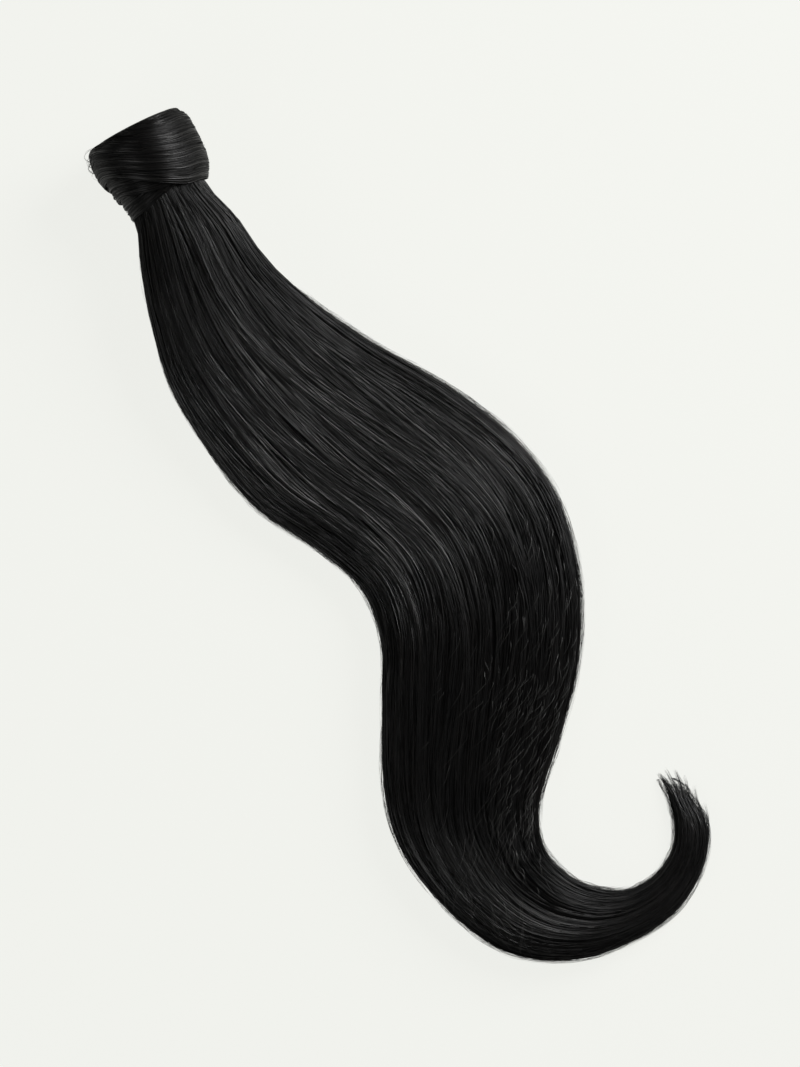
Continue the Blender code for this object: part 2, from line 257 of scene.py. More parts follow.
hairLook = {
    "dark": (0.0025, 0.0025, 0.0027),
    "light": (0.016, 0.0145, 0.0135),
    "patchScale": 45.0,
    "roughness": (0.25, 0.45),
    "specular": 0.36,
}
# loose hairs get a lighter copy of the hair colour: painted sheen for the light they catch
looseHairPaintedSheenLook = {
    "dark": (0.025, 0.0245, 0.0235),
    "light": (0.08, 0.079, 0.075),
    "patchScale": 80.0,
    "roughness": (0.35, 0.5),
    "specular": 0.6,
}
# hair under the strands of the tail, wrap and tube foot gets a darker copy of the hair colour: painted
# shade in the gaps between strands
paintedShadeCoreLook = {
    "dark": (0.0015, 0.0015, 0.0016),
    "light": (0.006, 0.0055, 0.005),
    "across": 400.0,
    "along": 8.0,
    "roughness": (0.5, 0.75),
    "bump": 0.6,
    "specular": 0.25,
}
tailHair = strandMaterial("tailHair", hairLook)
wrapHair = strandMaterial("wrapHair", {**hairLook, "roughness": (0.26, 0.43), "specular": 0.31})
looseHair = strandMaterial("looseHair", looseHairPaintedSheenLook)
deepHair = fibreMaterial("deepHair", paintedShadeCoreLook)
deepWrap = fibreMaterial("deepWrap", {**paintedShadeCoreLook, "across": 120.0, "along": 5.0})


def clothMaterial(name, look):
    # woven rows: crossed fine waves with some fuzz
    material, tree, shader = newMaterial(name, look["light"])
    uv = addNode(tree, "ShaderNodeUVMap", uv_map="fibreMap")
    place = addNode(tree, "ShaderNodeTexCoord")
    threads = addNode(tree, "ShaderNodeTexWave", Scale=look["threads"], Distortion=1.5, Detail=2.0)
    threads.bands_direction = "Y"
    fuzz = addNode(tree, "ShaderNodeTexNoise", Scale=900.0, Detail=3.0)
    tree.links.new(uv.outputs["UV"], threads.inputs["Vector"])
    tree.links.new(place.outputs["Object"], fuzz.inputs["Vector"])
    both = addNode(tree, "ShaderNodeMath", operation="MULTIPLY")
    tree.links.new(threads.outputs["Fac"], both.inputs[0])
    tree.links.new(fuzz.outputs["Fac"], both.inputs[1])
    varyColour(tree, shader, both.outputs[0], look)
    bumpFrom(tree, shader, both.outputs[0], 0.6, 0.2 * mm)
    shader.inputs["Roughness"].default_value = look["roughness"]
    return material


clothLook = {
    "dark": (0.012, 0.011, 0.0105),
    "light": (0.085, 0.079, 0.073),
    "threads": 60.0,
    "roughness": 0.85,
}
threadLook = {
    "dark": (0.05, 0.047, 0.044),
    "light": (0.2, 0.19, 0.175),
    "threads": 90.0,
    "roughness": 0.7,
}
weftCloth = clothMaterial("weftCloth", clothLook)
weftThread = clothMaterial("weftThread", threadLook)
print("materials ready")

# building pieces


def finishPiece(name, mesh, material):
    piece = bpy.data.objects.new(name, mesh)
    scene.collection.objects.link(piece)
    mesh.materials.append(material)
    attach(piece, "root")
    return piece


def ringMesh(name, rings, ringsClose=False):
    # skin through rows of points; open rows get a flat cap at both ends
    rows, around = rings.shape[:2]
    index = np.arange(rows * around).reshape(rows, around)
    uAt, vAt = np.meshgrid(np.arange(around), np.arange(rows))
    if ringsClose:
        index, uAt = np.vstack([index, index[:1]]), np.vstack([uAt, uAt[:1]])
        vAt = np.vstack([vAt, np.full((1, around), rows)])
    ahead = np.roll(index, -1, axis=1)
    quads = np.stack([index[:-1], ahead[:-1], ahead[1:], index[1:]], axis=-1).reshape(-1, 4)
    u = np.stack([uAt[:-1], uAt[:-1] + 1, uAt[1:] + 1, uAt[1:]], axis=-1).reshape(-1, 4) / around
    v = np.stack([vAt[:-1], vAt[:-1], vAt[1:], vAt[1:]], axis=-1).reshape(-1, 4) / rows
    faces = quads.tolist()
    if not ringsClose:
        faces += [index[0][::-1].tolist(), index[-1].tolist()]
    mesh = bpy.data.meshes.new(name)
    mesh.from_pydata(rings.reshape(-1, 3).tolist(), [], faces)
    uv = np.zeros((len(mesh.loops), 2), np.float32)
    uv[: quads.size] = np.stack([u.ravel(), v.ravel()], axis=-1)
    mesh.uv_layers.new(name="fibreMap").data.foreach_set("uv", uv.ravel())
    shell = bmesh.new()
    shell.from_mesh(mesh)
    bmesh.ops.recalc_face_normals(shell, faces=shell.faces)
    shell.to_mesh(mesh)
    shell.free()
    mesh.shade_smooth()
    mesh.set_sharp_from_angle(angle=math.radians(60))
    return mesh


def unit(vectors):
    length = np.linalg.norm(vectors, axis=-1, keepdims=True)
    return vectors / np.maximum(length, 1e-12)


strandRoundness = math.radians(28)
floorGap = 0.12 * mm


def ribbonMesh(name, batches):
    # batch: path (strands, steps, 3), outward (same), then roll, width and tone (strands, steps)
    # edge normals lean apart, so that each flat ribbon is lit like a round strand
    allPoints, allNormals, allQuads, allTones, first = [], [], [], [], 0
    for path, outward, roll, width, tone in batches:
        tangent = unit(np.gradient(path, axis=1))
        outward = unit(outward - tangent * np.sum(outward * tangent, axis=-1, keepdims=True))
        sideways = np.cross(tangent, outward)
        turnCos, turnSin = np.cos(roll)[..., None], np.sin(roll)[..., None]
        flat = sideways * turnCos + outward * turnSin
        facing = outward * turnCos - sideways * turnSin
        half = flat * width[..., None] / 2
        points = np.stack([path - half, path + half], axis=2)
        points[..., 2] = np.maximum(points[..., 2], floorGap)
        lean = flat * math.sin(strandRoundness)
        facing = facing * math.cos(strandRoundness)
        normals = np.stack([facing - lean, facing + lean], axis=2)
        strands, steps = path.shape[:2]
        index = first + np.arange(strands * steps * 2).reshape(strands, steps, 2)
        quads = np.stack(
            [index[:, :-1, 0], index[:, :-1, 1], index[:, 1:, 1], index[:, 1:, 0]], axis=-1
        )
        allPoints.append(points.reshape(-1, 3))
        allNormals.append(normals.reshape(-1, 3))
        allQuads.append(quads.reshape(-1, 4))
        allTones.append(np.repeat(np.clip(tone, 0, 1).ravel(), 2))
        first += strands * steps * 2
    points, quads = np.vstack(allPoints), np.vstack(allQuads)
    mesh = bpy.data.meshes.new(name)
    mesh.vertices.add(len(points))
    mesh.vertices.foreach_set("co", points.astype(np.float32).ravel())
    mesh.loops.add(quads.size)
    mesh.loops.foreach_set("vertex_index", quads.astype(np.int32).ravel())
    mesh.polygons.add(len(quads))
    mesh.polygons.foreach_set("loop_start", np.arange(0, quads.size, 4, dtype=np.int32))
    mesh.polygons.foreach_set("loop_total", np.full(len(quads), 4, np.int32))
    mesh.update(calc_edges=True)
    mesh.shade_smooth()
    toneLayer = mesh.attributes.new("tone", "FLOAT", "POINT")
    toneLayer.data.foreach_set("value", np.concatenate(allTones).astype(np.float32))
    mesh.normals_split_custom_set_from_vertices(np.vstack(allNormals).tolist())
    return mesh


phases = (0, 6.28)


def waves(rng, count, along, lengths, height):
    # slow sideways wander of each strand: a few sine waves of random phase
    total = np.zeros_like(along)
    for length in lengths:
        stretch = rng.uniform(0.75, 1.3, (count, 1))
        phase = rng.uniform(0, 2 * math.pi, (count, 1))
        total += np.sin(along / (length * stretch) * 2 * math.pi + phase)
    return total * height / math.sqrt(len(lengths))


def makeFlow(seed, reach, waveLengths, cells):
    # strands with nearly the same label drift together, so locks gather and part without crossing
    rng = np.random.default_rng(seed)
    terms = []
    for _ in range(7):
        cell = rng.uniform(*cells)
        terms.append((reach / cell, cell, rng.uniform(*waveLengths), rng.uniform(*phases)))

    def drift(label, along):
        total = np.zeros(np.broadcast(label, along).shape)
        for height, cell, length, phase in terms:
            total += height * np.sin(2 * math.pi * (label * cell + along / length) + phase)
        return total

    return drift


def makeStreaks(seed, count, cells, lengths):
    # light and dark streaks that follow the locks, about -1 to 1
    rng = np.random.default_rng(seed)
    terms = [(rng.uniform(*cells), rng.uniform(*lengths), rng.uniform(*phases)) for _ in range(count)]

    def streak(label, along):
        total = np.zeros(np.broadcast(label, along).shape)
        for cell, length, phase in terms:
            total += np.sin(2 * math.pi * (label * cell + along / length) + phase)
        return total / math.sqrt(count)

    return streak


def makeLocks(seed, count, low, high, groove, length):
    # depth below the surface for strands sorted into locks, each with a rounded back
    rng = np.random.default_rng(seed)
    gaps = rng.uniform(0.45, 1.6, count)
    edges = low + (high - low) * np.concatenate([[0], np.cumsum(gaps)]) / gaps.sum()
    amount = rng.uniform(0.35, 1.0, count)
    base = rng.uniform(0, 0.35, count)
    phase = rng.uniform(*phases, count)

    def depth(label, along):
        cell = np.clip(np.searchsorted(edges, label) - 1, 0, count - 1)
        middle, half = (edges[cell] + edges[cell + 1]) / 2, (edges[cell + 1] - edges[cell]) / 2
        within = np.clip(np.abs(label - middle) / half, 0, 1)
        swell = 0.65 + 0.35 * np.sin(along / length * 2 * math.pi + phase[cell])
        return groove * (base[cell] + amount[cell] * swell * within**2.2)

    return depth


def taper(share, start, end):
    # width of a strand along its own length, thin at both ends
    return 0.15 + 0.85 * smoothStep(0, start, share) * (1 - smoothStep(1 - end, 1, share))


# tail: same sections as the CAD tail, as shares of its box

tailSize = {
    "sway": 0.615 * (tailHigh.x - tailLow.x),
    "drop": 0.9385 * (tailHigh.y - tailLow.y),
    "width": 0.774 * (tailHigh.x - tailLow.x),
    "depth": 27 * mm,
    "settle": 4 * mm,
    "rootLength": 7.5 * mm,
}

# side, down, width, turn in degrees, crown, lift
tailStations = [
    (-0.010, 0.048, 0.462, 0, 1.00, 0.80),
    (-0.033, 0.113, 0.563, 1, 1.00, 0.50),
    (-0.009, 0.183, 0.712, 4, 1.00, 0.22),
    (0.095, 0.263, 0.850, 5, 1.00, 0.05),
    (0.267, 0.351, 0.991, 5, 0.98, 0.0),
    (0.460, 0.435, 1.000, 1, 0.96, 0.0),
    (0.554, 0.514, 0.943, -3, 0.97, 0.0),
    (0.489, 0.597, 0.897, -10, 1.00, 0.0),
    (0.301, 0.675, 0.861, -17, 1.00, 0.0),
    (0.053, 0.755, 0.774, -14, 0.97, 0.0),
    (-0.094, 0.818, 0.636, -9, 0.93, 0.0),
    (-0.101, 0.887, 0.503, 5, 0.86, 0.0),
    (0.015, 0.946, 0.433, 25, 0.78, 0.0),
    (0.215, 0.984, 0.336, 42, 0.68, 0.0),
    (0.454, 1.000, 0.226, 69, 0.57, 0.0),
    (0.693, 0.995, 0.178, 106, 0.48, 0.0),
    (0.887, 0.970, 0.156, 134, 0.41, 0.0),
    (0.984, 0.936, 0.143, 153, 0.34, 0.0),
    (0.996, 0.902, 0.100, 164, 0.25, 0.0),
    (0.998, 0.892, 0.096, 160, 0.21, 0.0),  # from here on it draws in to the longest tuft
    (0.991, 0.884, 0.089, 156, 0.17, 0.0),
    (0.977, 0.876, 0.058, 158, 0.13, 0.0),
    (0.963, 0.870, 0.033, 160, 0.09, 0.0),
    (0.950, 0.866, 0.011, 165, 0.06, 0.0),
]


def tailSections():
    highTop = axisZ + tubeRadius
    highUnder = axisZ - tubeRadius
    rows = []
    for y in (mouthY + tailSize["rootLength"], mouthY):
        rows.append((axisX, y, 0.0, tubeRadius - 0.3 * mm, highTop, highUnder, axisZ, 2.0))
    for side, down, width, turn, crown, lift in tailStations:
        top = mix(crown * tailSize["depth"], highTop, lift)
        under = mix(-tailSize["settle"], highUnder, lift)
        rows.append(
            (
                axisX + side * tailSize["sway"],
                mouthY - down * tailSize["drop"],
                turn,
                0.5 * width * tailSize["width"],
                top,
                under,
                mix(under, top, mix(0.4, 0.5, lift)),
                mix(2.4, 2.0, lift),
            )
        )
    return smoothRows(rows, 24)


sectionColumns = ["x", "y", "turn", "halfWidth", "top", "under", "waist", "roundness"]
sections = tailSections()
tailLine = dict(zip(sectionColumns, sections.T))
steps = np.hypot(np.diff(tailLine["x"]), np.diff(tailLine["y"]))
tailLine["along"] = np.concatenate([[0], np.cumsum(steps)])
tailLength = tailLine["along"][-1]
widest = tailLine["halfWidth"].max()

# strands take more steps where the tail bends
stepsForBend = 0.05
heading = np.unwrap(np.arctan2(np.gradient(tailLine["y"]), np.gradient(tailLine["x"])))
bend = np.abs(np.gradient(heading) / np.gradient(tailLine["along"]))
stepWeight = np.concatenate([[0], np.cumsum(steps * (1 + stepsForBend * (bend[1:] + bend[:-1]) / 2))])


def tailColumn(name, along):
    return np.interp(along, tailLine["along"], tailLine[name])


def tailSurface(along, around, depth):
    # around runs 0 to 1 over the top from the right side to the left, and 1 to 2 back underneath
    turned = np.mod(around, 2.0)
    over = turned < 1.0
    share = np.where(over, turned, turned - 1.0)
    across = mix(1 - 2 * share, np.cos(math.pi * share), 0.55)
    across = np.where(over, across, -across)
    halfWidth = tailColumn("halfWidth", along)
    waist = tailColumn("waist", along)
    roundness = tailColumn("roundness", along)
    reach = np.where(over, tailColumn("top", along), tailColumn("under", along)) - waist
    rise = np.maximum(1 - np.abs(across) ** roundness, 0) ** (1 / roundness)
    outSide, outUp = across / halfWidth, rise / reach
    size = np.hypot(outSide, outUp)
    outSide, outUp = outSide / size, outUp / size
    side = across * halfWidth - depth * outSide
    height = waist + rise * reach - depth * outUp
    turn = np.radians(tailColumn("turn", along))
    x = tailColumn("x", along) + np.cos(turn) * side
    y = tailColumn("y", along) + np.sin(turn) * side
    point = np.stack([x, y, np.maximum(height, floorGap + 0.1 * mm)], axis=-1)
    outward = np.stack([np.cos(turn) * outSide, np.sin(turn) * outSide, outUp], axis=-1)
    return point, outward


def evenSteps(start, end, count):
    # places along the tail from start to end, closer together in the bends
    low = np.interp(start, tailLine["along"], stepWeight)
    high = np.interp(end, tailLine["along"], stepWeight)
    weight = low[:, None] + (high - low)[:, None] * np.linspace(0, 1, count)[None, :]
    return np.interp(weight, stepWeight, tailLine["along"])


# how much of the hair is there at each place: fewer strands fit the mouth and the curl
fullness = np.clip(tailLine["halfWidth"] / widest, 0, 1)
peak = int(np.argmax(fullness))
risingShare = np.maximum.accumulate(fullness[: peak + 1])
fallingShare = np.minimum.accumulate(fullness[peak:])


reachLook = {
    "fromRoot": 0.1,  # share of strands added to those that run from the root
    "early": (0, 30 * mm),  # how far before there is room for it at the surface
    "toTip": 0.17,  # share of strands that end near the tip
    "shortOfTip": (7 * mm, 40 * mm),
    "shortest": 60 * mm,
}


def strandReach(rng, count):
    # where each strand comes to the surface and where it ends
    look = reachLook
    rank = rng.uniform(0, 1, count)
    start = np.interp(rank, risingShare, tailLine["along"][: peak + 1])
    fromRoot = rank < risingShare[0] + look["fromRoot"]
    start = np.where(fromRoot, 0.0, start - rng.uniform(*look["early"], count))
    rank = rng.uniform(0, 1, count)
    end = np.interp(rank, fallingShare[::-1], tailLine["along"][peak:][::-1])
    end = np.where(rank < look["toTip"], tailLength - rng.uniform(*look["shortOfTip"], count), end)
    return np.clip(start, 0, None), np.clip(end, look["shortest"], tailLength)


tailDrift = makeFlow(5, 0.05, (260 * mm, 620 * mm), (2.0, 9.0))
tailLocks = makeLocks(21, 17, -0.05, 1.05, 1.5 * mm, 330 * mm)
tailFineLocks = makeLocks(22, 104, -0.05, 1.05, 0.95 * mm, 190 * mm)
tailStreaks = makeStreaks(23, 12, (6, 34), (180 * mm, 520 * mm))
tailTwist = makeStreaks(24, 12, (25, 95), (160 * mm, 480 * mm))

# painted shade (darker above 0) and painted sheen (darker below 0) in the tone, and strands turned to the
# light: along in mm, across, length, breadth, darker, turned to the light
paintedTailShades = [
    # the first row is the wrap's shadow at the mouth, painted into the tone
    (8, 0.35, 11, 0.35, 0.40, -0.28),
    (26, 0.72, 20, 0.22, -0.50, 0.50),
    (56, 0.21, 26, 0.09, 0.75, -0.52),
    (110, 0.00, 80, 0.20, 0.45, -0.32),
    (150, 0.90, 80, 0.16, -0.50, 0.42),
    (222, 0.84, 30, 0.22, -0.25, 0.26),
    (238, 0.20, 28, 0.30, 0.65, -0.46),
    (300, 0.35, 50, 0.40, 0.45, -0.32),
    (345, 0.50, 16, 0.25, 0.50, -0.50),
    (374, 0.16, 18, 0.26, 0.60, -0.80),
    (395, 0.38, 13, 0.18, 0.40, -0.50),
    (382, 0.74, 28, 0.22, -0.60, 0.40),
    (430, 0.05, 32, 0.30, 0.70, -0.49),
    (515, 0.50, 22, 0.80, 0.50, -0.20),
]

topLayer = {"from": -0.05, "to": 1.05, "locks": 1.0, "upright": 0.9}
tailPieces = {
    "tail_locks_deep": {
        **topLayer, "seed": 11, "strands": 1850, "steps": 42, "depth": (0.9 * mm, 1.8 * mm),
        "waves": [170 * mm, 90 * mm], "wander": 0.0035, "heave": 0.10 * mm, "locks": 0.9,
        "width": 0.46 * mm, "roll": 0.4,
    },
    "tail_locks_middle": {
        **topLayer, "seed": 12, "strands": 2250, "steps": 42, "depth": (0.35 * mm, 1.0 * mm),
        "waves": [160 * mm, 80 * mm], "wander": 0.0030, "heave": 0.12 * mm,
        "width": 0.38 * mm, "roll": 0.45,
    },
    "tail_locks_top": {
        **topLayer, "seed": 13, "strands": 2050, "steps": 46, "from": -0.04, "to": 1.04,
        "depth": (-0.1 * mm, 0.5 * mm), "waves": [150 * mm, 70 * mm], "wander": 0.0045,
        "heave": 0.18 * mm, "width": 0.38 * mm, "roll": 0.6,
    },
    "tail_strays": {
        **topLayer, "seed": 15, "strands": 260, "steps": 44, "from": 0.03, "to": 0.97,
        "depth": (-0.35 * mm, 0.0), "waves": [230 * mm, 120 * mm], "wander": 0.013,
        "heave": 0.2 * mm, "locks": 0.9, "width": 0.25 * mm, "roll": 0.6,
    },
    "tail_locks_under": {
        "seed": 14, "strands": 1000, "steps": 34, "from": 1.02, "to": 1.98,
        "depth": (0.3 * mm, 1.2 * mm), "waves": [170 * mm, 90 * mm], "wander": 0.0040,
        "heave": 0.12 * mm, "locks": 0.0, "width": 0.5 * mm, "roll": 0.3, "upright": 0.0,
    },
}


# where the hair stands higher than the plain tail: it springs out of the wrap, and crests in the bend
spring = {"rise": 4.5 * mm, "starts": (2 * mm, 50 * mm), "ends": (60 * mm, 160 * mm)}
crest = {"rise": 4.0 * mm, "along": 262 * mm, "length": 32 * mm, "across": 0.82, "breadth": 0.15}


def extraRise(label, along):
    swell = smoothStep(*spring["starts"], along) * (1 - smoothStep(*spring["ends"], along))
    swell = swell * smoothStep(-0.1, 0.3, label) * (1 - smoothStep(0.75, 1.1, label))
    away = ((along - crest["along"]) / crest["length"]) ** 2
    away = away + ((label - crest["across"]) / crest["breadth"]) ** 2
    return spring["rise"] * swell + crest["rise"] * np.exp(-away)


def shadeAt(label, along):
    darker = np.zeros(np.broadcast(label, along).shape)
    turned = darker.copy()
    for middle, across, length, breadth, dark, turn in paintedTailShades:
        near = np.exp(-(((along - middle * mm) / (length * mm)) ** 2) - ((label - across) / breadth) ** 2)
        darker += dark * near
        turned += turn * near
    return darker, turned


# what all strands of the tail share; the dives under the surface are shares of a strand's length
strandLook = {
    "rollWaves": [(120 * mm, 0.2), (40 * mm, 0.15)],
    "twist": 0.15,
    "streaks": 0.08,
    "darkening": 1.4,
    # how strongly painted shade darkens the tone, and how far painted sheen may lighten it
    "lightest": 1.6,
    "diveIn": 0.10,
    "diveOut": 0.93,
    "diveDepth": 1.6 * mm,
}


def tailStrands(look):
    rng = np.random.default_rng(look["seed"])
    count, stepCount = look["strands"], look["steps"]
    start, end = strandReach(rng, count)
    along = evenSteps(start, end, stepCount)
    label = rng.uniform(look["from"], look["to"], (count, 1))
    around = label + tailDrift(label, along) * np.sin(math.pi * np.clip(label, 0, 1)) ** 0.5
    around = around + waves(rng, count, along, look["waves"], look["wander"])
    depth = rng.uniform(*look["depth"], (count, 1))
    depth = depth + look["locks"] * (tailLocks(label, along) + tailFineLocks(label, along))
    depth = depth + waves(rng, count, along, look["waves"], look["heave"])
    depth = depth - extraRise(label, along)
    share = np.linspace(0, 1, stepCount)[None, :] * np.ones((count, 1))
    surfaces = np.where(start > 1 * mm, 1.0, 0.0)[:, None]
    dive = surfaces * (1 - smoothStep(0, strandLook["diveIn"], share))
    dive = dive + smoothStep(strandLook["diveOut"], 1, share)
    scale = np.sqrt(tailColumn("halfWidth", along) / widest)
    point, outward = tailSurface(along, around, depth * scale + dive * strandLook["diveDepth"] * scale)
    width = look["width"] * rng.uniform(0.7, 1.25, (count, 1)) * taper(share, 0.04, 0.08)
    roll = rng.normal(0, look["roll"], (count, 1)) + strandLook["twist"] * tailTwist(label, along)
    for length, amount in strandLook["rollWaves"]:
        roll = roll + waves(rng, count, along, [length], amount)
    tone = rng.beta(0.7, 1.4, (count, 1)) + strandLook["streaks"] * tailStreaks(label, along)
    # painted shade and painted sheen: the tone is darkened where the hair lies in shade and lightened
    # where it catches the light
    darker, turned = shadeAt(label, along)
    tone = tone * np.clip(1 - strandLook["darkening"] * darker, 0, strandLook["lightest"])
    roll = roll + turned
    # hair on the sides is lit as if it lay flatter, like a bundle of round strands
    outward = outward + np.array([0.0, 0.0, look["upright"]])
    return point, outward, roll, width, tone


def makeTailCore():
    # solid hair under the strands, a little inside the CAD surface, in the darker core colour: painted
    # shade
    look = {"inset": 2.4 * mm, "ridge": 0.2 * mm, "rings": 130, "points": 72, "shortOfTip": 12 * mm}
    along = evenSteps(np.array([0.0]), np.array([tailLength - look["shortOfTip"]]), look["rings"])[0]
    around = np.linspace(0, 2, look["points"], endpoint=False)
    alongGrid, aroundGrid = np.meshgrid(along, around, indexing="ij")
    scale = np.sqrt(tailColumn("halfWidth", alongGrid) / widest)
    ridges = look["ridge"] * np.sin(aroundGrid * math.pi * 24)
    point, _ = tailSurface(alongGrid, aroundGrid, (look["inset"] + ridges) * scale)
    core = finishPiece("tail_core", ringMesh("tail_core", point), deepHair)
    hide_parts("tail")


makeTailCore()
for pieceName, look in tailPieces.items():
    finishPiece(pieceName, ribbonMesh(pieceName, [tailStrands(look)]), tailHair)
    print("tail:", pieceName, look["strands"], "strands")

# tufts at the end of the curl

tipLook = {
    "seed": 31,
    "steps": 34,
    "width": 0.24 * mm,
    "spread": 0.6 * mm,
    "breadth": 0.12,
    "start": (18 * mm, 48 * mm),  # how far before the tuft's point
    "swing": 17 * mm,
    "height": (0.4 * mm, 2.0 * mm),
    "lowest": 0.35 * mm,
    "tufts": [
        # where its strands lie across the tail, where its point is (side, down), strands
        (0.95, 0.929, 0.8955, 16),
        (0.5, 0.950, 0.8655, 60),
        (0.1, 0.995, 0.8640, 20),
        (-0.2, 1.0400, 0.8700, 44),
        (-0.5, 1.0700, 0.8810, 34),
        (-0.8, 1.0950, 0.8990, 34),
        (-1.0, 1.1070, 0.9200, 30),
    ],
    "between": 8,  # single hairs in each of three places between two tufts
    "tuftReach": 0.78,  # shortest strand's share of the way to the point
    "betweenReach": 0.68,
}


def tipStrands(look):
    rng = np.random.default_rng(look["seed"])
    batches = []
    tufts = [(*tuft, look["tuftReach"]) for tuft in look["tufts"]]
    for first, second in zip(look["tufts"], look["tufts"][1:]):
        for share in (0.25, 0.5, 0.75):
            spot = mix(np.array(first), np.array(second), share)[:3]
            tufts.append((*spot, look["between"], look["betweenReach"]))
    for across, side, down, count, shortest in tufts:
        end = np.array([axisX + side * tailSize["sway"], mouthY - down * tailSize["drop"], 0.0])
        away = np.hypot(tailLine["x"] - end[0], tailLine["y"] - end[1])
        nearest = tailLine["along"][np.argmin(np.where(tailLine["along"] > 0.9 * tailLength, away, 9))]
        start = nearest - rng.uniform(*look["start"], count)
        share = np.linspace(0, 1, look["steps"])[None, :] * np.ones((count, 1))
        along = start[:, None] + share * (nearest - start)[:, None]
        spot = np.clip(rng.normal(across, look["breadth"], (count, 1)), -1, 1)
        depth = rng.uniform(0, 1.0, (count, 1)) * mm * (1 - smoothStep(0.5, 1, share))
        point, outward = tailSurface(along, 0.5 - spot / 2 + 0 * share, depth)
        # each strand leaves the surface and swings to the tuft's point, some stopping short
        aim = np.repeat(end[None, :], count, axis=0)
        aim[:, :2] += rng.normal(0, look["spread"], (count, 2))
        aim[:, 2] = rng.uniform(*look["height"], count)
        swing = np.clip((along - nearest) / look["swing"] + 1, 0, 1)[..., None] ** 2
        point = point + (aim - point[:, -1])[:, None, :] * swing
        keep = rng.beta(4, 1, (count, 1)) * 0.22 + shortest
        place = np.linspace(0, 1, look["steps"])[None, :] * keep * (look["steps"] - 1)
        low = np.clip(place.astype(int), 0, look["steps"] - 2)
        part = (place - low)[..., None]
        rows = np.arange(count)[:, None]
        point = mix(point[rows, low], point[rows, low + 1], part)
        point[..., 2] = np.maximum(point[..., 2], look["lowest"])
        width = look["width"] * rng.uniform(0.7, 1.2, (count, 1)) * taper(share, 0.1, 0.35)
        roll = rng.normal(-0.25, 0.4, (count, 1)) + 0 * share
        batches.append((point, outward, roll, width, rng.beta(0.8, 2.4, (count, 1)) + 0 * share))
    return batches


finishPiece("tail_tips", ribbonMesh("tail_tips", tipStrands(tipLook)), tailHair)
print("tail tips")

# loose hairs: short ones over the lower part, fine ones just off the outline

flyawayLook = {
    "seed": 41,
    "steps": 12,
    "width": 0.12 * mm,
    "zones": [
        # along from, to; around from, to; hairs; length, lift, slant and wave in mm
        (0.52, 0.70, 0.06, 0.42, 210, (4, 13), (0.1, 1.1), (-9, 0), 0.7),
        (0.46, 0.74, 0.04, 0.70, 110, (4, 13), (0.1, 1.0), (-9, 2), 0.6),
        (0.64, 0.74, 0.40, 0.80, 26, (8, 20), (0.1, 1.0), (-15, 5), 0.5),
        (0.40, 0.56, 0.04, 0.50, 110, (4, 13), (0.1, 0.9), (-6, 2), 0.5),
        (0.69, 0.76, 0.40, 0.85, 14, (7, 15), (0.4, 1.2), (-22, -10), 0.5),
        (0.01, 0.03, 0.30, 0.60, 12, (4, 9), (0.8, 2.0), (-4, 4), 0.7),
    ],
}
edgeLook = {
    "seed": 42,
    "steps": 15,
    "width": 0.14 * mm,
    "zones": [
        (0.10, 0.52, -0.03, 0.03, 300, (16, 60), (0.5, 2.1), (-2, 2), 0.3),
        (0.03, 0.50, 0.97, 1.03, 280, (16, 60), (0.4, 1.7), (-2, 2), 0.3),
        (0.52, 0.80, -0.03, 0.03, 170, (14, 50), (0.4, 2.2), (-2, 2), 0.3),
        (0.52, 0.93, 0.97, 1.03, 210, (14, 50), (0.4, 1.6), (-2, 2), 0.3),
        (0.76, 0.97, -0.03, 0.03, 140, (10, 40), (0.3, 1.5), (-1, 1), 0.3),
        (0.93, 0.985, 0.92, 1.04, 70, (6, 16), (0.3, 1.4), (-1, 1), 0.3),
        (0.91, 0.985, -0.04, 0.06, 80, (6, 20), (0.3, 1.8), (-1, 1), 0.3),
        (0.02, 0.50, 0.10, 0.90, 130, (25, 70), (0.0, 0.6), (-3, 3), 0.3),
        (0.76, 0.95, 0.10, 0.90, 60, (14, 50), (0.0, 0.6), (-3, 3), 0.3),
    ],
}


looseRoot = 0.5 * mm  # how deep both ends of a loose hair sit
overTheTop = 2.3  # length of the tail's upper side, in half widths


def looseHairs(look):
    rng = np.random.default_rng(look["seed"])
    batches = []
    for low, high, right, left, count, lengths, lifts, slants, wave in look["zones"]:
        start = rng.uniform(low, high, count) * tailLength
        length = rng.uniform(*lengths, count) * mm
        share = np.linspace(0, 1, look["steps"])[None, :] * np.ones((count, 1))
        along = np.clip(start[:, None] + share * length[:, None], 0, tailLength - 4 * mm)
        span = overTheTop * tailColumn("halfWidth", along)
        slant = rng.uniform(*slants, (count, 1)) * mm * share ** rng.uniform(1.1, 2.2, (count, 1))
        around = rng.uniform(right, left, (count, 1)) - slant / span
        around = around + waves(rng, count, along, [22 * mm, 12 * mm], wave * mm) / span
        lift = rng.uniform(*lifts, (count, 1)) * mm
        arch = rng.uniform(0.5, 1.15, (count, 1))  # under 1 the hair ends in the air
        rise = np.sin(math.pi * np.clip(share * arch, 0, 1))
        depth = looseRoot - (lift + looseRoot) * rise**0.8
        point, outward = tailSurface(along, around, depth)
        width = look["width"] * rng.uniform(0.6, 1.3, (count, 1)) * taper(share, 0.15, 0.4)
        roll = rng.uniform(-0.6, 0.6, (count, 1)) + 0 * share
        batches.append((point, outward, roll, width, rng.uniform(0.1, 1.0, (count, 1)) + 0 * share))
    return batches


# the short loose hairs get the lighter colour with painted sheen, the edge hairs the plain hair colour
for pieceName, look, material in (
    ("tail_flyaways", flyawayLook, looseHair),
    ("tail_edge_hairs", edgeLook, tailHair),
):
    finishPiece(pieceName, ribbonMesh(pieceName, looseHairs(look)), material)
print("loose hairs")

# wrap: three turns of a strand wound round the tube

